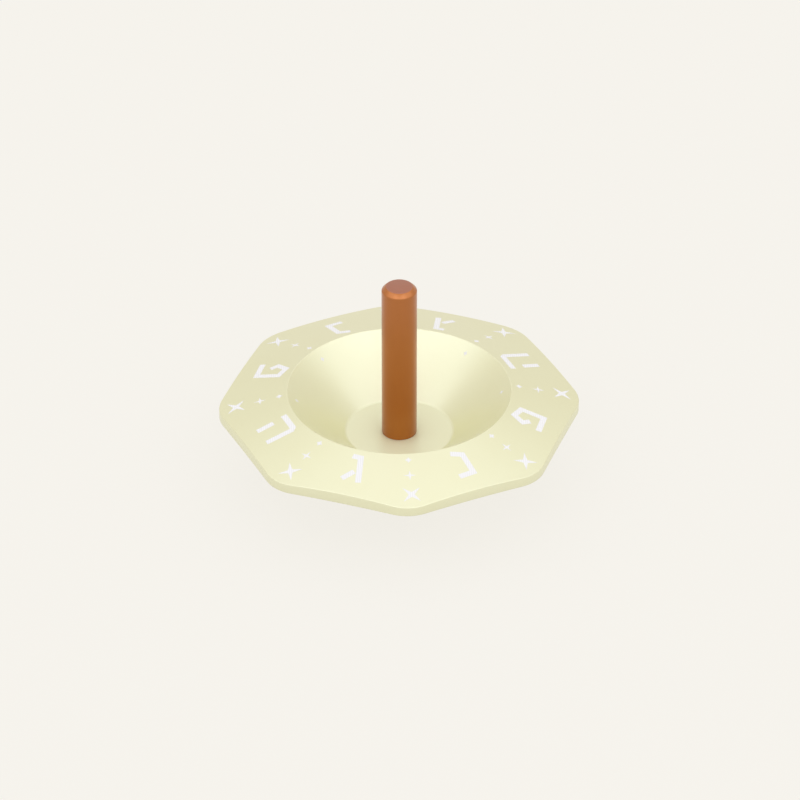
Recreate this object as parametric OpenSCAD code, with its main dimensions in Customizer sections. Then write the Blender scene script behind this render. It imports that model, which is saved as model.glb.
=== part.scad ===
// Eight-sided saucer dreidel, a spinning-top game piece of machined and anodised aluminium.
// A thin drooping rim surrounds a conical bowl. A finger stem stands in the bowl's floor,
// and a headless screw through the floor draws the stem and the spin tip together.
// +Z is the spin axis, the corners lie on the axes and their diagonals, and the origin is
// the middle of the small flat under the spin tip.

/* [Rim] */
// Distance across opposite straight sides
rim_flats = 57.9; // [52:0.1:70]
// Radius that rounds each of the eight corners
corner_r = 7.2; // [3:0.1:12]
// Height of the upright edge face at the middle of a straight side
edge_h = 2; // [1.2:0.05:3]
// Fall of the top face from the bowl's lip outwards, in degrees
top_slope = 14; // [8:0.1:18]
// Fall of the underside outwards, in degrees
skirt_slope = 5.4; // [2:0.1:8]

/* [Bowl] */
// Diameter of the lip
lip_d = 38.2; // [34:0.1:42]
// Diameter of the flat floor
floor_d = 18.5; // [16:0.1:22]
// Depth from the lip to the floor
bowl_depth = 8.4; // [6:0.1:11]
// Thickness of the conical wall, square to it
wall_t = 1.6; // [1.2:0.05:2.2]
// Thickness of the floor
floor_t = 2; // [1.6:0.05:3]
// Width of the bevel where the wall meets the floor
floor_bevel = 0.2; // [0.1:0.05:0.6]

/* [Stem] */
// Diameter of the finger stem
stem_d = 6; // [5.5:0.1:8]
// Length of the stem above the bowl's floor
stem_l = 29.3; // [24:0.1:40]
// Bevel round the top of the stem
stem_bevel = 0.7; // [0.3:0.05:1.2]
// Diameter of the spigot that centres the stem in the floor
spigot_d = 4.6; // [4.4:0.1:5]
// Length of the spigot
spigot_l = 1.3; // [0.8:0.05:1.5]

/* [Spin tip] */
// Height of the tip below the saucer
tip_h = 6.6; // [6:0.1:10]
// Diameter of the collar that bears on the saucer
collar_d = 11; // [9:0.1:14]
// Height of the collar's straight edge
collar_h = 1.2; // [0.8:0.05:2]
// Diameter of the flat that the dreidel stands on
foot_d = 3; // [2.6:0.1:4]

/* [Screw] */
// Outer diameter of the headless screw's thread
screw_d = 3; // [2.5:0.1:3.2]
// Length of the headless screw
screw_l = 12; // [11:0.5:14]
// Distance across the flats of its hexagon socket
socket_flats = 1.5; // [1.2:0.1:1.6]
// Depth of the hexagon socket
socket_depth = 1.5; // [1:0.1:2]
// Bevel at both ends of the screw
screw_bevel = 0.3; // [0.15:0.05:0.4]
// Depth of the tapped hole in the spin tip
tip_hole_depth = 4.8; // [4:0.1:5]

/* [Engraving] */
// Depth of the engraved marks
mark_depth = 0.12; // [0.05:0.01:0.3]
// Turn of all the marks from the corners, in degrees
marks_turn = 1.2; // [-3:0.1:3]
// Height of a letter
letter_h = 5.8; // [4:0.1:6]
// Width of a letter
letter_w = 4.9; // [3.5:0.1:5.4]
// Width of a letter's strokes
letter_stroke = 1; // [0.6:0.05:1.2]
// Gap between the bowl's lip and the letters
letter_gap = 1.05; // [0.6:0.05:1.4]
// Width of the large star at each corner, from point to point
large_star_w = 4.1; // [2.5:0.1:4.4]
// Width of the middle star
middle_star_w = 2.1; // [1:0.1:2.4]
// Width of the small star
small_star_w = 1.2; // [0.6:0.1:1.4]
// Gap between the bowl's lip and the small star
star_gap = 0.8; // [0.5:0.1:1]
// Width of the tiny star on the bowl's wall
bowl_star_w = 0.8; // [0.4:0.1:1.2]
// Gap between the bowl's lip and that tiny star, seen from above
bowl_star_gap = 1.2; // [0.8:0.1:2]

/* [Hidden] */
$fn = 144;

sides = 8;
side_angle = 360 / sides;
overrun = 1;

// Play round the spigot and round the screw's thread, and past the ends of the screw
spigot_play = 0.05;
thread_play = 0.05;
end_play = 0.3;

// Colours of the pieces
saucer_colour = [0.90, 0.89, 0.72];
stem_colour = [0.66, 0.40, 0.20];
screw_colour = [0.62, 0.63, 0.65];

// Levels, upwards from the foot
base_z = tip_h;
floor_z = base_z + floor_t;
lip_z = floor_z + bowl_depth;
screw_z = base_z - tip_hole_depth + end_play;

// Radii and half widths
rim_half = rim_flats / 2;
lip_r = lip_d / 2;
floor_r = floor_d / 2;
stem_r = stem_d / 2;
screw_r = screw_d / 2;
spigot_r = spigot_d / 2;
floor_hole_r = spigot_r + spigot_play;
tapped_r = screw_r + thread_play;
stem_hole_top_z = screw_z + screw_l + end_play;

// Bowl wall: its rise for each unit of radius, and its thickness measured upright
wall_rise = bowl_depth / (lip_r - floor_r);
wall_upright_t = wall_t * sqrt(1 + wall_rise * wall_rise);
bevel_slant_share = 1 / sqrt(1 + wall_rise * wall_rise);

// Levels of the top face, the bowl's wall and the underside at a radius, and the radius
// where the bowl's outside meets the underside of the rim
top_fall = tan(top_slope);
skirt_fall = tan(skirt_slope);
function top_z(r) = lip_z - (r - lip_r) * top_fall;
function wall_z(r) = lip_z - (lip_r - r) * wall_rise;
function skirt_z(r) = top_z(rim_half) - edge_h - (r - rim_half) * skirt_fall;
join_r = (skirt_z(0) - floor_z + floor_r * wall_rise + wall_upright_t) / (wall_rise + skirt_fall);
base_r = floor_r + (wall_upright_t - floor_t) / wall_rise;

// Rounded corners: the circle that their centres lie on, and how far out they reach
corner_circle_r = (rim_half - corner_r) / cos(side_angle / 2);
blank_r = corner_circle_r + corner_r + overrun;

// Marks: rows of stars at the corners, and letters at the middles of the sides
letter_row_r = lip_r + letter_gap + letter_h / 2;
small_star_r = lip_r + star_gap + small_star_w / 2;
large_star_r = corner_circle_r + corner_r - large_star_w * large_star_place_share;
middle_star_r = (small_star_r + large_star_r) / 2 - star_gap / 2;
bowl_star_r = lip_r - bowl_star_gap - bowl_star_w / 2;
large_star_place_share = 0.7;
star_waist_share = 0.25;
small_star_waist_share = 0.5;

// Paths of each letter's strokes, as shares of the letter's width and height
nun_shares = [[[-0.09, 0.49], [0.275, 0.365], [0.275, -0.48], [-0.28, -0.5]]];
pe_shares = [
    [[-0.255, -0.02], [-0.415, 0.115], [-0.155, 0.49], [0.41, 0.365], [0.41, -0.46], [-0.45, -0.5]]
];
hei_shares = [
    [[-0.5, 0.485], [0.385, 0.46], [0.5, 0.36], [0.49, -0.5]],
    [[-0.46, -0.075], [-0.455, -0.5]]
];
gimel_shares = [
    [[-0.22, 0.49], [0.025, 0.48], [0.31, -0.5]],
    [[-0.1, -0.24], [-0.335, -0.47]]
];
letters = [nun_shares, pe_shares, hei_shares, gimel_shares];
first_letter_side = -2;

// Outline of the rim seen from above: the flats and the eight round corners
function corner_tangents(k) = [
    for (turn = [-side_angle / 2, side_angle / 2])
        corner_circle_r * [cos(k * side_angle), sin(k * side_angle)]
            + corner_r * [cos(k * side_angle + turn), sin(k * side_angle + turn)]
];

module rim_outline() {
    polygon([for (k = [0 : sides - 1]) each corner_tangents(k)]);
    for (k = [0 : sides - 1])
        rotate(k * side_angle)
            translate([corner_circle_r, 0])
                circle(r = corner_r);
}

// Half section of the turned saucer before its sides are cut, with the hole for the spigot
module saucer_section() {
    polygon([
        [floor_hole_r, base_z],
        [base_r, base_z],
        [join_r, skirt_z(join_r)],
        [blank_r, skirt_z(blank_r)],
        [blank_r, top_z(blank_r)],
        [lip_r, lip_z],
        [floor_r + floor_bevel * bevel_slant_share, floor_z + floor_bevel * bevel_slant_share * wall_rise],
        [floor_r - floor_bevel, floor_z],
        [floor_hole_r, floor_z]
    ]);
}

// Skin of the rim and of the bowl's upper wall that the engraving removes
module engraved_skin() {
    inner_r = bowl_star_r - bowl_star_w;
    rotate_extrude()
        polygon([
            [inner_r, wall_z(inner_r) - mark_depth],
            [lip_r, lip_z - mark_depth],
            [blank_r, top_z(blank_r) - mark_depth],
            [blank_r, lip_z + overrun],
            [inner_r, lip_z + overrun]
        ]);
}

// One side of a stroke along a path, with square ends and mitred corners
function unit(v) = v / norm(v);
function left_of(v) = [-v.y, v.x];
function stroke_side(path, offset) = [
    for (k = [0 : len(path) - 1])
        let (
            last = len(path) - 1,
            before = unit(path[max(k, 1)] - path[max(k, 1) - 1]),
            after = unit(path[min(k, last - 1) + 1] - path[min(k, last - 1)]),
            mitre = unit(left_of(before + after)),
            past_end = k == 0 ? -1 : k == last ? 1 : 0
        )
            path[k] + after * past_end * letter_stroke / 2 + mitre * offset / (mitre * left_of(after))
];

// One stroke, along a path given as shares of a letter's size
module stroke(shares) {
    size = [letter_w - letter_stroke, letter_h - letter_stroke];
    path = [for (share = shares) [share.x * size.x, share.y * size.y]];
    right_side = stroke_side(path, -letter_stroke / 2);
    polygon(concat(
        stroke_side(path, letter_stroke / 2),
        [for (k = [len(path) - 1 : -1 : 0]) right_side[k]]
    ));
}

// Four-pointed star
module star(width, waist_share) {
    points_count = 4;
    waist_r = width / 2 * waist_share;
    polygon([
        for (k = [0 : 2 * points_count - 1])
            let (r = k % 2 == 0 ? width / 2 : waist_r, turn = k * 180 / points_count)
                r * [cos(turn), sin(turn)]
    ]);
}

// Letter at the middle of one side, its foot to the outside
module side_letter(k) {
    rotate((k + 0.5) * side_angle)
        translate([letter_row_r, 0])
            rotate(90)
                for (shares = letters[(k - first_letter_side) % len(letters)])
                    stroke(shares);
}

// Row of stars at one corner, the large one turned by half a right angle
module corner_stars(k) {
    rotate(k * side_angle) {
        translate([bowl_star_r, 0])
            star(bowl_star_w, small_star_waist_share);
        translate([small_star_r, 0])
            star(small_star_w, small_star_waist_share);
        translate([middle_star_r, 0])
            star(middle_star_w, star_waist_share);
        translate([large_star_r, 0])
            rotate(45)
                star(large_star_w, star_waist_share);
    }
}

module engraving() {
    intersection() {
        engraved_skin();
        translate([0, 0, base_z])
            linear_extrude(lip_z + overrun)
                rotate(marks_turn)
                    for (k = [first_letter_side : first_letter_side + sides - 1]) {
                        side_letter(k);
                        corner_stars(k);
                    }
    }
}

// Saucer: the turned blank cut to its eight sides, and engraved
module saucer() {
    color(saucer_colour)
        difference() {
            intersection() {
                rotate_extrude()
                    saucer_section();
                linear_extrude(lip_z + overrun)
                    rim_outline();
            }
            engraving();
        }
}

// Finger stem: a rod with a bevelled top, a spigot at its lower end and a tapped hole up it
module stem() {
    color(stem_colour)
        difference() {
            union() {
                translate([0, 0, floor_z - spigot_l])
                    cylinder(r = spigot_r, h = spigot_l);
                translate([0, 0, floor_z])
                    cylinder(r = stem_r, h = stem_l - stem_bevel);
                translate([0, 0, floor_z + stem_l - stem_bevel])
                    cylinder(r1 = stem_r, r2 = stem_r - stem_bevel, h = stem_bevel);
            }
            translate([0, 0, base_z])
                cylinder(r = tapped_r, h = stem_hole_top_z - base_z);
        }
}

// Spin tip: a collar and a blunt cone with a tapped hole from above
module spin_tip() {
    color(stem_colour)
        difference() {
            union() {
                translate([0, 0, tip_h - collar_h])
                    cylinder(d = collar_d, h = collar_h);
                cylinder(d1 = foot_d, d2 = collar_d, h = tip_h - collar_h);
            }
            translate([0, 0, tip_h - tip_hole_depth])
                cylinder(r = tapped_r, h = tip_hole_depth + overrun);
        }
}

// Headless screw with bevelled ends and a hexagon socket in its upper end
module headless_screw() {
    socket_r = socket_flats / 2 / cos(30);
    color(screw_colour)
        translate([0, 0, screw_z])
            difference() {
                union() {
                    cylinder(r1 = screw_r - screw_bevel, r2 = screw_r, h = screw_bevel);
                    translate([0, 0, screw_bevel])
                        cylinder(r = screw_r, h = screw_l - 2 * screw_bevel);
                    translate([0, 0, screw_l - screw_bevel])
                        cylinder(r1 = screw_r, r2 = screw_r - screw_bevel, h = screw_bevel);
                }
                translate([0, 0, screw_l - socket_depth])
                    cylinder(r = socket_r, h = socket_depth + overrun, $fn = 6);
            }
}

saucer();
stem();
spin_tip();
headless_screw();
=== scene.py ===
"""Looks of an eight-sided saucer dreidel: anodised aluminium, white laser marks, a pale studio.

Lengths are millimetres until a mesh is finished. The mesh is then brought to metres.
"""

from math import atan, atan2, cos, hypot, pi, radians, sin, sqrt, tan

import bmesh
import bpy
from mathutils import Matrix, Vector


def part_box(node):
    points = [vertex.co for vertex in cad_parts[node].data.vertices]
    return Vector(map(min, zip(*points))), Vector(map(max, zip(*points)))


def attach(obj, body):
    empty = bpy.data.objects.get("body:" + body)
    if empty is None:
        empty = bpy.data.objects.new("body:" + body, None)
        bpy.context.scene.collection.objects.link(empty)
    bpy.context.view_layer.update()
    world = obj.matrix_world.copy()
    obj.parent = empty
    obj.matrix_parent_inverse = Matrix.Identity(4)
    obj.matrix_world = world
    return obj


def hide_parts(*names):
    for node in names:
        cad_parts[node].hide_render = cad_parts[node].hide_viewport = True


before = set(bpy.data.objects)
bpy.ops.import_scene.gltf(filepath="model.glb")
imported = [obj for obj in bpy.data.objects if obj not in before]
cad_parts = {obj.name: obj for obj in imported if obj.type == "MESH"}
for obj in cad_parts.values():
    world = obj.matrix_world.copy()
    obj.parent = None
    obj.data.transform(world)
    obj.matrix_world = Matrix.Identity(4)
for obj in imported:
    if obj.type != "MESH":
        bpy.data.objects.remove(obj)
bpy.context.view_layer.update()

MM = 0.001
BODY = "root"


def box_mm(node):
    """Lowest and highest corner of a CAD node, in millimetres."""
    low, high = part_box(node)
    return low / MM, high / MM


saucer_low, saucer_high = box_mm("saucer")
stem_low, stem_high = box_mm("stem")
tip_high = box_mm("spin_tip")[1]

# Levels, upwards from the foot
LIP_Z = saucer_high.z
BASE_Z = saucer_low.z
FLOOR_T = 2.0
FLOOR_Z = BASE_Z + FLOOR_T
STEM_TOP_Z = stem_high.z
TIP_H = tip_high.z

# Rim, seen from above: eight round corners, the first on the x axis, and flats between them
SIDES = 8
SIDE_ANGLE = 2 * pi / SIDES
CORNER_R = 7.2
CORNER_REACH = min(saucer_high.x, saucer_high.y, -saucer_low.x, -saucer_low.y)
CORNER_CIRCLE_R = CORNER_REACH - CORNER_R
RIM_HALF = CORNER_CIRCLE_R * cos(SIDE_ANGLE / 2) + CORNER_R
EDGE_H = 2.0
TOP_FALL = tan(radians(14))
SKIRT_FALL = tan(radians(5.4))

# Bowl. The wall's rise and its slant length are for one millimetre of radius
LIP_R = 19.1
FLOOR_R = 9.25
FLOOR_BEVEL = 0.2
WALL_T = 1.6
WALL_RISE = (LIP_Z - FLOOR_Z) / (LIP_R - FLOOR_R)
WALL_SLANT = sqrt(1 + WALL_RISE**2)

# Stem and spin tip
STEM_R = stem_high.x
STEM_BEVEL = 0.7
SPIGOT_R = 2.3
SPIGOT_PLAY = 0.05
TAPPED_R = 1.55
COLLAR_R = tip_high.x
COLLAR_H = 1.2
FOOT_R = 1.5
TIP_HOLE_DEPTH = 4.8
STEM_HOLE_TOP_Z = 14.4

# Fine rounding that the tools and the blasting leave on the edges
RIM_EDGE = 0.12
RIM_LOWER_EDGE = 0.15
FINE_EDGE = 0.07
STEM_TOP_EDGE = 0.14
ROUNDING_STEPS = 3
SHARP_ANGLE = radians(18)

# Steps round the spin axis, and the distance at which two points become one
SAUCER_STEPS = 720
ROD_STEPS = 192
TOUCHING = 1e-5

# Letters and stars, which are all turned a little from the corners
MARKS_TURN = radians(1.2)
LETTER_H = 5.8
LETTER_W = 4.9
LETTER_STROKE = 1.0
LETTER_GAP = 1.05
LARGE_STAR_W = 4.1
LARGE_STAR_INSET = 0.7 * LARGE_STAR_W
MIDDLE_STAR_W = 2.1
SMALL_STAR_W = 1.2
STAR_GAP = 0.8
BOWL_STAR_W = 0.8
BOWL_STAR_GAP = 1.2
STAR_WAIST_SHARE = 0.25
SMALL_STAR_WAIST_SHARE = 0.5

# Each mark is a thin plate, this far above and below the metal, in strips that let it follow a cone
MARK_PROUD = 0.012
MARK_SUNK = 0.08
MARK_STRIP_W = 0.35


def axis_r(at):
    """Distance of a place from the spin axis."""
    return hypot(at.x, at.y)


def top_z(r):
    """Height of the rim's top at a radius."""
    return LIP_Z - (r - LIP_R) * TOP_FALL


def wall_z(r):
    """Height of the bowl's wall at a radius."""
    return LIP_Z - (LIP_R - r) * WALL_RISE


def skirt_z(r):
    """Height of the rim's underside at a radius."""
    return top_z(RIM_HALF) - EDGE_H - (r - RIM_HALF) * SKIRT_FALL


def outline_r(angle):
    """How far the rim reaches at an angle from a corner: a flat side, or a round corner."""
    turn = (angle + SIDE_ANGLE / 2) % SIDE_ANGLE - SIDE_ANGLE / 2
    from_flat = SIDE_ANGLE / 2 - abs(turn)
    flat_ends = atan(CORNER_CIRCLE_R * sin(SIDE_ANGLE / 2) / RIM_HALF)
    if from_flat <= flat_ends:
        return RIM_HALF / cos(from_flat)
    across = CORNER_CIRCLE_R * sin(turn)
    return CORNER_CIRCLE_R * cos(turn) + sqrt(CORNER_R**2 - across**2)


# Meshes


def spun(section, steps):
    """A bmesh of a half section, given as radius and height, turned about the spin axis.

    A section that starts on the axis also ends there, and any other one closes on itself.
    """
    bm = bmesh.new()
    points = [bm.verts.new((r, 0, z)) for r, z in section]
    closed = section[0][0] > 0
    ends = points[1:] + points[:1] if closed else points[1:]
    lines = [bm.edges.new(pair) for pair in zip(points, ends)]
    bmesh.ops.spin(
        bm,
        geom=points + lines,
        cent=(0, 0, 0),
        axis=(0, 0, 1),
        angle=2 * pi,
        steps=steps,
        use_merge=True,
    )
    bmesh.ops.remove_doubles(bm, verts=bm.verts, dist=TOUCHING)
    bmesh.ops.recalc_face_normals(bm, faces=bm.faces)
    return bm


def soften(bm, width, here=lambda at: True):
    """Rounds the sharp edges that have their middle here."""
    edges = [
        e
        for e in bm.edges
        if len(e.link_faces) == 2
        and e.calc_face_angle() > SHARP_ANGLE
        and here((e.verts[0].co + e.verts[1].co) / 2)
    ]
    bmesh.ops.bevel(
        bm,
        geom=edges,
        offset=width,
        segments=ROUNDING_STEPS,
        profile=0.5,
        affect="EDGES",
        material=-1,
    )


def piece(name, bm, material, replaced=None, smooth=True):
    """The shading of a smooth piece follows its large faces, which keeps the cones straight.
    """
    bmesh.ops.scale(bm, vec=(MM, MM, MM), verts=bm.verts)
    mesh = bpy.data.meshes.new(name)
    for f in bm.faces:
        f.smooth = smooth
    bm.to_mesh(mesh)
    bm.free()
    mesh.materials.append(material)
    obj = bpy.data.objects.new(name, mesh)
    bpy.context.scene.collection.objects.link(obj)
    if smooth:
        fair = obj.modifiers.new("fair_normals", "WEIGHTED_NORMAL")
        fair.weight = 100
    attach(obj, BODY)
    if replaced:
        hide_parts(replaced)


def make_saucer(material):
    """Turns the saucer round, then draws its outer edge in to the eight-sided outline."""
    wall_t = WALL_T * WALL_SLANT
    join_r = (skirt_z(0) - FLOOR_Z + FLOOR_R * WALL_RISE + wall_t) / (WALL_RISE + SKIRT_FALL)
    base_r = FLOOR_R + (wall_t - FLOOR_T) / WALL_RISE
    hole_r = SPIGOT_R + SPIGOT_PLAY
    section = [
        (hole_r, BASE_Z),
        (base_r, BASE_Z),
        (join_r, skirt_z(join_r)),
        (CORNER_REACH, skirt_z(CORNER_REACH)),
        (CORNER_REACH, top_z(CORNER_REACH)),
        (LIP_R, LIP_Z),
        (FLOOR_R + FLOOR_BEVEL / WALL_SLANT, FLOOR_Z + FLOOR_BEVEL / WALL_SLANT * WALL_RISE),
        (FLOOR_R - FLOOR_BEVEL, FLOOR_Z),
        (hole_r, FLOOR_Z),
    ]
    bm = spun(section, SAUCER_STEPS)
    rim_middle_r = (LIP_R + RIM_HALF) / 2
    for v in bm.verts:
        r = axis_r(v.co)
        if r > rim_middle_r:
            reach = outline_r(atan2(v.co.y, v.co.x))
            surface = top_z if v.co.z > skirt_z(r) + EDGE_H / 2 else skirt_z
            v.co = Vector((v.co.x * reach / r, v.co.y * reach / r, surface(reach)))
    edge_middle_z = (top_z(CORNER_REACH) + skirt_z(RIM_HALF)) / 2
    soften(bm, RIM_EDGE, lambda at: axis_r(at) > rim_middle_r and at.z > edge_middle_z)
    soften(bm, RIM_LOWER_EDGE, lambda at: axis_r(at) > rim_middle_r and at.z < edge_middle_z)
    soften(bm, FINE_EDGE, lambda at: axis_r(at) < rim_middle_r)
    piece("blasted_saucer", bm, material, "saucer")


def make_stem(material):
    """Rod with a bevelled top, and a tapped spigot that reaches down through the floor."""
    section = [
        (0, STEM_TOP_Z),
        (STEM_R - STEM_BEVEL, STEM_TOP_Z),
        (STEM_R, STEM_TOP_Z - STEM_BEVEL),
        (STEM_R, FLOOR_Z),
        (SPIGOT_R, FLOOR_Z),
        (SPIGOT_R, stem_low.z),
        (TAPPED_R, stem_low.z),
        (TAPPED_R, STEM_HOLE_TOP_Z),
        (0, STEM_HOLE_TOP_Z),
    ]
    bm = spun(section, ROD_STEPS)
    shaft_middle_z = (FLOOR_Z + STEM_TOP_Z) / 2
    soften(bm, STEM_TOP_EDGE, lambda at: at.z > shaft_middle_z)
    soften(bm, FINE_EDGE, lambda at: at.z < shaft_middle_z)
    piece("satin_stem", bm, material, "stem")


def make_tip(material):
    """Cone with a small flat foot, under a collar that is tapped for the screw."""
    section = [
        (0, 0),
        (FOOT_R, 0),
        (COLLAR_R, TIP_H - COLLAR_H),
        (COLLAR_R, TIP_H),
        (TAPPED_R, TIP_H),
        (TAPPED_R, TIP_H - TIP_HOLE_DEPTH),
        (0, TIP_H - TIP_HOLE_DEPTH),
    ]
    bm = spun(section, ROD_STEPS)
    soften(bm, FINE_EDGE)
    piece("satin_spin_tip", bm, material, "spin_tip")


# Marks

# Middle lines of each letter's strokes, as shares of its width and height from its middle
NUN = [[(-0.09, 0.49), (0.275, 0.365), (0.275, -0.48), (-0.28, -0.5)]]
PE = [
    [(-0.255, -0.02), (-0.415, 0.115), (-0.155, 0.49), (0.41, 0.365), (0.41, -0.46), (-0.45, -0.5)]
]
HEI = [
    [(-0.5, 0.485), (0.385, 0.46), (0.5, 0.36), (0.49, -0.5)],
    [(-0.46, -0.075), (-0.455, -0.5)],
]
GIMEL = [[(-0.22, 0.49), (0.025, 0.48), (0.31, -0.5)], [(-0.1, -0.24), (-0.335, -0.47)]]
LETTERS = [NUN, PE, HEI, GIMEL]
# The flat that holds the first letter, counted from the x axis
FIRST_LETTER_SIDE = -2


def ribbon(path, width):
    """Outline of a stroke along a path, with square ends and mitred corners."""
    points = [Vector(p) for p in path]
    runs = [(b - a).normalized() for a, b in zip(points, points[1:])]
    points[0] = points[0] - runs[0] * width / 2
    points[-1] = points[-1] + runs[-1] * width / 2
    left, right = [], []
    for k, p in enumerate(points):
        before, after = runs[max(k - 1, 0)], runs[min(k, len(runs) - 1)]
        normal = Vector((-before.y - after.y, before.x + after.x)).normalized()
        reach = width / 2 / normal.dot(Vector((-after.y, after.x)))
        left.append(p + normal * reach)
        right.append(p - normal * reach)
    return left + right[::-1]


def star_outline(width, waist_share):
    """Outline of a star with four points, and a waist between each two."""
    radii = [width / 2, width / 2 * waist_share] * 4
    return [Vector((r * cos(k * pi / 4), r * sin(k * pi / 4))) for k, r in enumerate(radii)]


def add_plate(bm, outline, place, surface):
    """Lays a flat outline on a turned surface, as a thin closed plate in strips."""
    face = bm.faces.new([bm.verts.new((p.x, p.y, 0)) for p in outline])
    made = bmesh.ops.triangulate(bm, faces=[face])["faces"]
    low = min(p.x for p in outline)
    high = max(p.x for p in outline)
    cuts = int((high - low) / MARK_STRIP_W)
    for k in range(1, cuts):
        parts = dict.fromkeys(g for f in made for g in (*f.verts, *f.edges, f))
        cut = bmesh.ops.bisect_plane(
            bm,
            geom=list(parts),
            dist=TOUCHING,
            plane_co=(low + (high - low) * k / cuts, 0, 0),
            plane_no=(1, 0, 0),
        )
        made = [g for g in cut["geom"] if isinstance(g, bmesh.types.BMFace)]
    for f in made:
        f.normal_update()
        if f.normal.z < 0:
            f.normal_flip()
    top_verts = {v for f in made for v in f.verts}
    rise = bmesh.ops.extrude_face_region(bm, geom=list(made), use_keep_orig=True)["geom"]
    lifted = {g for g in rise if isinstance(g, bmesh.types.BMVert)}
    for v in top_verts | lifted:
        v.co = place @ v.co
        v.co.z = surface(axis_r(v.co)) + (MARK_PROUD if v in lifted else -MARK_SUNK)


def radial_place(angle, r, turn=0.0):
    """Takes a mark's own plane out to a radius, with its foot outwards unless it is turned."""
    return (
        Matrix.Rotation(angle, 4, "Z")
        @ Matrix.Translation((r, 0, 0))
        @ Matrix.Rotation(pi / 2 + turn, 4, "Z")
    )


def make_letters(material):
    """The four letters, one on each flat and twice round."""
    bm = bmesh.new()
    size = Vector((LETTER_W - LETTER_STROKE, LETTER_H - LETTER_STROKE))
    row_r = LIP_R + LETTER_GAP + LETTER_H / 2
    for k in range(SIDES):
        side = FIRST_LETTER_SIDE + k
        place = radial_place((side + 0.5) * SIDE_ANGLE + MARKS_TURN, row_r)
        for path in LETTERS[k % len(LETTERS)]:
            outline = ribbon([(x * size.x, y * size.y) for x, y in path], LETTER_STROKE)
            add_plate(bm, outline, place, top_z)
    piece("laser_letters", bm, material, smooth=False)


def make_stars(material):
    """Four stars in a row at each corner, from the bowl's wall out to the rim's edge."""
    bm = bmesh.new()
    bowl_r = LIP_R - BOWL_STAR_GAP - BOWL_STAR_W / 2
    small_r = LIP_R + STAR_GAP + SMALL_STAR_W / 2
    large_r = CORNER_REACH - LARGE_STAR_INSET
    middle_r = (small_r + large_r) / 2 - STAR_GAP / 2
    row = [
        (star_outline(BOWL_STAR_W, SMALL_STAR_WAIST_SHARE), bowl_r, 0, wall_z),
        (star_outline(SMALL_STAR_W, SMALL_STAR_WAIST_SHARE), small_r, 0, top_z),
        (star_outline(MIDDLE_STAR_W, STAR_WAIST_SHARE), middle_r, 0, top_z),
        (star_outline(LARGE_STAR_W, STAR_WAIST_SHARE), large_r, pi / 4, top_z),
    ]
    for k in range(SIDES):
        for outline, r, turn, surface in row:
            add_plate(bm, outline, radial_place(k * SIDE_ANGLE + MARKS_TURN, r, turn), surface)
    piece("laser_stars", bm, material, smooth=False)


# Materials

# Blast grain, turning rings and laser lines. Real ones are finer than a tenth of a millimetre, and
# these are drawn as coarse as they need to be to show.
GRAIN_MM = 0.3
RING_MM = 0.35
LASER_LINE_MM = 0.36

# Faint clouds in a dye, and the pitch of an M3 thread
CLOUD_MM = 9
THREAD_PITCH_MM = 0.5

# How level a face is: 0 on a wall, 1 on a floor. Level and upright faces shine least at the first
# value and fully at the second. Ends begin at the first value and are complete at the second.
LEVEL_FACES = (0.995, 0.975)
UPRIGHT_FACES = (0.3, 0.6)
END_FACES = (0.93, 0.99)

# How much of the deeper dye the rings take on, and how far the grain moves the roughness either way
RING_COLOUR_SHARE = 0.35
GRAIN_ROUGHNESS = 0.04


def linear(colour):
    """A six-digit sRGB hex colour as linear red, green, blue and alpha."""
    parts = [int(colour[k : k + 2], 16) / 255 for k in (0, 2, 4)]
    return (*[c / 12.92 if c <= 0.04045 else ((c + 0.055) / 1.055) ** 2.4 for c in parts], 1)


def add(tree, kind, settings=None, links=None):
    """Adds a node, with its settings by property name and its inputs as values or sockets."""
    made = tree.nodes.new(kind)
    for name, value in (settings or {}).items():
        setattr(made, name, value)
    for name, value in (links or {}).items():
        if isinstance(value, bpy.types.NodeSocket):
            tree.links.new(value, made.inputs[name])
        else:
            made.inputs[name].default_value = value
    return made


def new_material(name):
    """A material without nodes, and its tree."""
    material = bpy.data.materials.new(name)
    material.use_nodes = True
    material.node_tree.nodes.clear()
    return material, material.node_tree


def per_m(size_mm):
    """Noise scale that gives features of about this size."""
    return 1 / (size_mm * MM)


def lines_per_m(spacing_mm):
    """Wave scale that gives lines or rings this far apart."""
    return per_m(spacing_mm) * pi / 10


def dye_clouds_and_painted_shade(tree, place, painted_shade_heights):
    """Share of the deeper colour: dye in faint clouds, or painted shade from a height in mm down to a
    lower one.
    """
    if not painted_shade_heights:
        clouds = {"Vector": place, "Scale": per_m(CLOUD_MM), "Detail": 2.0}
        return add(tree, "ShaderNodeTexNoise", links=clouds).outputs["Fac"]
    # Painted shade: the deeper colour grows from the upper height down to the lower one
    low, high = painted_shade_heights
    height = add(tree, "ShaderNodeSeparateXYZ", links={"Vector": place}).outputs["Z"]
    return add(
        tree,
        "ShaderNodeMapRange",
        links={"Value": height, "From Min": high * MM, "From Max": low * MM},
    ).outputs["Result"]


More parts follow.
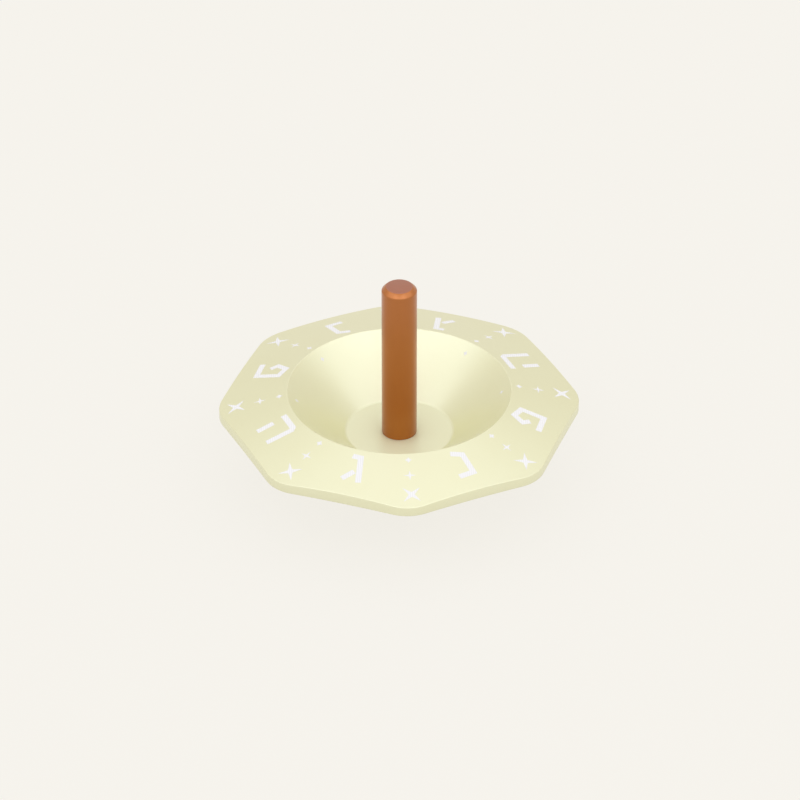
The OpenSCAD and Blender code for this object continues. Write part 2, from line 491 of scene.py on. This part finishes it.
def turned_ends(tree, place, level, tone, relief, end_colour, ring_colour):
    """Colour and relief with the turning tool's rings on the ends, which are level."""
    begins, complete = END_FACES
    end = add(
        tree, "ShaderNodeMapRange", links={"Value": level, "From Min": begins, "From Max": complete}
    ).outputs["Result"]
    rings = add(
        tree,
        "ShaderNodeTexWave",
        {"wave_type": "RINGS", "rings_direction": "Z"},
        {"Vector": place, "Scale": lines_per_m(RING_MM), "Distortion": 1.5, "Detail": 1.0},
    ).outputs["Fac"]
    worn = add(tree, "ShaderNodeMath", {"operation": "MULTIPLY"}, {0: rings, 1: RING_COLOUR_SHARE})
    ringed = add(
        tree,
        "ShaderNodeMix",
        {"data_type": "RGBA"},
        {"Factor": worn.outputs[0], "A": linear(end_colour), "B": linear(ring_colour)},
    )
    tone = add(
        tree,
        "ShaderNodeMix",
        {"data_type": "RGBA"},
        {"Factor": end, "A": tone, "B": ringed.outputs["Result"]},
    ).outputs["Result"]
    height = add(tree, "ShaderNodeMath", {"operation": "MULTIPLY"}, {0: rings, 1: end})
    relief = add(
        tree,
        "ShaderNodeBump",
        links={
            "Height": height.outputs[0],
            "Strength": 0.3,
            "Distance": 0.03 * MM,
            "Normal": relief,
        },
    ).outputs["Normal"]
    return tone, relief


def share_of_shine(tree, level, level_share, upright_share):
    """Full shine on the cones, and a share of it on level faces and on upright ones."""
    on_level, on_upright = [
        add(
            tree,
            "ShaderNodeMapRange",
            links={"Value": level, "From Min": least, "From Max": full, "To Min": share},
        ).outputs["Result"]
        for share, (least, full) in ((level_share, LEVEL_FACES), (upright_share, UPRIGHT_FACES))
    ]
    return add(
        tree, "ShaderNodeMath", {"operation": "MINIMUM"}, {0: on_level, 1: on_upright}
    ).outputs[0]


def anodised(name, colour, deeper, roughness, coat, end_colour=None, painted_shade_heights=None, duller=None):
    """Anodised aluminium: a satin sheen in the dye's colour, under a clear skin with a fine grain.

    The coat is the skin's weight, roughness and IOR. The deeper dye shows in faint clouds, or else
    painted shade darkens the colour between two heights, given as the lower and the upper one. The
    ends can have a colour of their own, with the turning tool's rings. Level faces and upright ones
    can be duller, each with its share of the full shine.
    """
    material, tree = new_material(name)
    at = add(tree, "ShaderNodeTexCoord").outputs
    place = at["Object"]
    facing = add(tree, "ShaderNodeSeparateXYZ", links={"Vector": at["Normal"]}).outputs["Z"]
    level = add(tree, "ShaderNodeMath", {"operation": "ABSOLUTE"}, {0: facing}).outputs[0]
    # The deeper colour comes as dye in faint clouds, or as painted shade between two heights
    tone = add(
        tree,
        "ShaderNodeMix",
        {"data_type": "RGBA"},
        {"Factor": dye_clouds_and_painted_shade(tree, place, painted_shade_heights), "A": linear(colour), "B": linear(deeper)},
    ).outputs["Result"]
    grain = add(
        tree, "ShaderNodeTexNoise", links={"Vector": place, "Scale": per_m(GRAIN_MM), "Detail": 3.0}
    ).outputs["Fac"]
    satin = add(
        tree,
        "ShaderNodeMapRange",
        links={
            "Value": grain,
            "To Min": roughness - GRAIN_ROUGHNESS,
            "To Max": roughness + GRAIN_ROUGHNESS,
        },
    ).outputs["Result"]
    relief = add(
        tree, "ShaderNodeBump", links={"Height": grain, "Strength": 0.06, "Distance": 0.02 * MM}
    ).outputs["Normal"]
    if end_colour:
        tone, relief = turned_ends(tree, place, level, tone, relief, end_colour, deeper)
    coat_weight, coat_roughness, coat_ior = coat
    shine = 1.0
    if duller:
        shine = share_of_shine(tree, level, *duller)
        skin = add(tree, "ShaderNodeMath", {"operation": "MULTIPLY"}, {0: shine, 1: coat_weight})
        coat_weight = skin.outputs[0]
    shader = add(
        tree,
        "ShaderNodeBsdfPrincipled",
        links={
            "Base Color": tone,
            "Metallic": shine,
            "Roughness": satin,
            "Normal": relief,
            "Coat Weight": coat_weight,
            "Coat Roughness": coat_roughness,
            "Coat IOR": coat_ior,
        },
    )
    add(tree, "ShaderNodeOutputMaterial", links={"Surface": shader.outputs["BSDF"]})
    return material


def laser_white(name, between, on_line):
    """Skin bleached by a laser: matt, a little powdery, with the beam's fine parallel lines."""
    material, tree = new_material(name)
    place = add(tree, "ShaderNodeTexCoord").outputs["Object"]
    lines = add(
        tree,
        "ShaderNodeTexWave",
        {"bands_direction": "X"},
        {"Vector": place, "Scale": lines_per_m(LASER_LINE_MM), "Distortion": 0.8, "Detail": 1.0},
    ).outputs["Fac"]
    tone = add(
        tree,
        "ShaderNodeMix",
        {"data_type": "RGBA"},
        {"Factor": lines, "A": linear(between), "B": linear(on_line)},
    )
    relief = add(
        tree, "ShaderNodeBump", links={"Height": lines, "Strength": 0.05, "Distance": 0.02 * MM}
    )
    shader = add(
        tree,
        "ShaderNodeBsdfPrincipled",
        links={
            "Base Color": tone.outputs["Result"],
            "Roughness": 0.5,
            "IOR": 1.65,
            "Sheen Weight": 0.25,
            "Normal": relief.outputs["Normal"],
        },
    )
    add(tree, "ShaderNodeOutputMaterial", links={"Surface": shader.outputs["BSDF"]})
    return material


def zinc_steel(name):
    """Zinc-plated steel of a screw, ringed by its rolled thread, with painted shade in the grooves."""
    material, tree = new_material(name)
    place = add(tree, "ShaderNodeTexCoord").outputs["Object"]
    thread = add(
        tree,
        "ShaderNodeTexWave",
        {"bands_direction": "Z"},
        {"Vector": place, "Scale": lines_per_m(THREAD_PITCH_MM), "Distortion": 0.2},
    ).outputs["Fac"]
    # Painted shade in the thread's grooves and a painted highlight on its crests
    tone = add(
        tree,
        "ShaderNodeMix",
        {"data_type": "RGBA"},
        {"Factor": thread, "A": linear("8E9094"), "B": linear("B9BBBF")},
    )
    relief = add(
        tree, "ShaderNodeBump", links={"Height": thread, "Strength": 0.5, "Distance": 0.2 * MM}
    )
    shader = add(
        tree,
        "ShaderNodeBsdfPrincipled",
        links={
            "Base Color": tone.outputs["Result"],
            "Metallic": 1.0,
            "Roughness": 0.35,
            "Normal": relief.outputs["Normal"],
        },
    )
    add(tree, "ShaderNodeOutputMaterial", links={"Surface": shader.outputs["BSDF"]})
    return material


# Studio, in metres

BACKGROUND = "F6F3EC"
FLOOR_PAPER = "E5E2DB"
FLOOR_GLOW_SHARE = 0.9
FLOOR_HALF_W = 6
WORLD_FILL = 0.95

# Soft lamps: name, azimuth from the front, elevation, width and height in degrees, and radiance
LAMP_COLOUR = "D8E4FF"
LAMP_DISTANCE = 1.2
SOFTBOXES = [
    ("front_softbox", 0, 45, 60, 36, 0.79),
    ("front_left_softbox", -60, 48, 60, 36, 0.79),
    ("front_right_softbox", 60, 48, 60, 36, 0.76),
    ("overhead_softbox", 0, 88, 50, 50, 0.31),
    ("back_softbox", 180, 67, 88, 26, 0.43),
]

# Camera, solved from the photograph's outlines
CAMERA_AZIMUTH = -3.05
CAMERA_ELEVATION = 34.14
CAMERA_DISTANCE = 0.8
FRAME_PX = 800
FOCAL_PX = 4696
LIP_CENTRE_PX = (399.3, 389.74)


def seen_directly(tree, shown, unseen):
    """One shader for what the camera and shiny surfaces see, another for the rest of the light."""
    path = add(tree, "ShaderNodeLightPath").outputs
    sight = add(
        tree,
        "ShaderNodeMath",
        {"operation": "MAXIMUM"},
        {0: path["Is Camera Ray"], 1: path["Is Glossy Ray"]},
    )
    clear = add(
        tree,
        "ShaderNodeMath",
        {"operation": "MAXIMUM"},
        {0: sight.outputs[0], 1: path["Is Transmission Ray"]},
    )
    return add(tree, "ShaderNodeMixShader", links={0: clear.outputs[0], 1: unseen, 2: shown})


def make_floor():
    """Pale paper floor that keeps a soft part of the shadow, and is clear from below."""
    material, tree = new_material("pale_paper_floor")
    paper = add(tree, "ShaderNodeBsdfDiffuse", links={"Color": linear(FLOOR_PAPER)}).outputs[0]
    glow = add(tree, "ShaderNodeEmission", links={"Color": linear(BACKGROUND), "Strength": 1.0})
    softened = add(
        tree, "ShaderNodeMixShader", links={0: FLOOR_GLOW_SHARE, 1: paper, 2: glow.outputs[0]}
    )
    shown = seen_directly(tree, softened.outputs[0], paper)
    below = add(tree, "ShaderNodeNewGeometry").outputs["Backfacing"]
    clear = add(tree, "ShaderNodeBsdfTransparent")
    one_sided = add(
        tree, "ShaderNodeMixShader", links={0: below, 1: shown.outputs[0], 2: clear.outputs[0]}
    )
    add(tree, "ShaderNodeOutputMaterial", links={"Surface": one_sided.outputs[0]})
    bm = bmesh.new()
    bmesh.ops.create_grid(bm, x_segments=1, y_segments=1, size=FLOOR_HALF_W)
    mesh = bpy.data.meshes.new("studio_floor")
    bm.to_mesh(mesh)
    bm.free()
    mesh.materials.append(material)
    floor = bpy.data.objects.new("studio_floor", mesh)
    bpy.context.scene.collection.objects.link(floor)


def make_world():
    """Pale surround, which is seen at full strength and lights a little less."""
    world = bpy.data.worlds.new("studio")
    world.use_nodes = True
    bpy.context.scene.world = world
    tree = world.node_tree
    tree.nodes.clear()
    shown, fill = [
        add(
            tree, "ShaderNodeBackground", links={"Color": linear(BACKGROUND), "Strength": strength}
        ).outputs[0]
        for strength in (1.0, WORLD_FILL)
    ]
    surface = seen_directly(tree, shown, fill).outputs[0]
    add(tree, "ShaderNodeOutputWorld", links={"Surface": surface})


def outward(azimuth, elevation):
    """Direction from the dreidel to an azimuth from the front, and an elevation."""
    a, e = radians(azimuth), radians(elevation)
    return Vector((sin(a) * cos(e), -cos(a) * cos(e), sin(e)))


def place_facing(obj, back, at):
    """Puts a lamp or a camera at a point, with its back turned to a direction."""
    obj.location = at
    obj.rotation_mode = "QUATERNION"
    obj.rotation_quaternion = back.to_track_quat("Z", "Y")
    bpy.context.scene.collection.objects.link(obj)


def make_softbox(name, azimuth, elevation, width, height, radiance):
    """A lamp that faces the bowl. Its width and height are the angles that it fills."""
    lamp = bpy.data.lights.new(name, "AREA")
    lamp.shape = "RECTANGLE"
    lamp.size = 2 * LAMP_DISTANCE * tan(radians(width / 2))
    lamp.size_y = 2 * LAMP_DISTANCE * tan(radians(height / 2))
    lamp.energy = radiance * pi * lamp.size * lamp.size_y
    lamp.color = linear(LAMP_COLOUR)[:3]
    back = outward(azimuth, elevation)
    lip = Vector((0, 0, LIP_Z * MM))
    place_facing(bpy.data.objects.new(name, lamp), back, lip + back * LAMP_DISTANCE)


def make_camera():
    """The photograph's view: where it stands, and where the bowl's middle falls in the frame."""
    camera = bpy.data.cameras.new("photo_view")
    camera.sensor_width = 36
    camera.lens = FOCAL_PX * camera.sensor_width / FRAME_PX
    camera.clip_start, camera.clip_end = 0.01, 20
    back = outward(CAMERA_AZIMUTH, CAMERA_ELEVATION)
    right = outward(CAMERA_AZIMUTH + 90, 0)
    up = back.cross(right)
    across = (FRAME_PX / 2 - LIP_CENTRE_PX[0]) / FOCAL_PX * CAMERA_DISTANCE
    down = (FRAME_PX / 2 - LIP_CENTRE_PX[1]) / FOCAL_PX * CAMERA_DISTANCE
    lip = Vector((0, 0, LIP_Z * MM))
    obj = bpy.data.objects.new("photo_view", camera)
    place_facing(obj, back, lip + back * CAMERA_DISTANCE + right * across - up * down)
    bpy.context.scene.camera = obj


# The dreidel in its studio

# Painted shade: the copper darkens from this height above the bowl's floor, down to the floor
PAINTED_SHADE_H = 24

# Turned, milled and bead-blasted, then dyed: a pale sheen on the cones, which is so soft that they
# mirror things only as a blur. The flat floor and the milled edge shine less.
lime = anodised(
    "lime_anodised_aluminium",
    colour="E6E4C1",
    deeper="E4E1BB",
    roughness=0.45,
    coat=(1.0, 0.3, 1.6),
    duller=(0.2, 0.42),
)
# Turned from rod to a satin, then dyed: a warm highlight along the shaft, painted shade that darkens
# it towards its foot, and faint rings on its rosier ends.
copper = anodised(
    "copper_anodised_aluminium",
    colour="B66F38",
    deeper="A5601A",
    roughness=0.36,
    coat=(0.5, 0.2, 1.5),
    end_colour="AF7564",
    # Painted shade that darkens the stem towards its foot
    painted_shade_heights=(FLOOR_Z, FLOOR_Z + PAINTED_SHADE_H),
)
# Bleached out of the dyed skin: a chalky white that hardly changes from side to side, while the
# metal's sheen comes and goes around it.
white = laser_white("laser_bleached_white", between="DFDCD9", on_line="E7E4E2")
make_saucer(lime)
make_stem(copper)
make_tip(copper)
make_letters(white)
make_stars(white)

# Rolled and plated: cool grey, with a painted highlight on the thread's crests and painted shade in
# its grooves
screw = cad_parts["headless_screw"]
screw.data.materials.clear()
screw.data.materials.append(zinc_steel("zinc_plated_steel"))

make_floor()
make_world()
for softbox in SOFTBOXES:
    make_softbox(*softbox)
make_camera()
bpy.context.scene.view_settings.view_transform = "Standard"
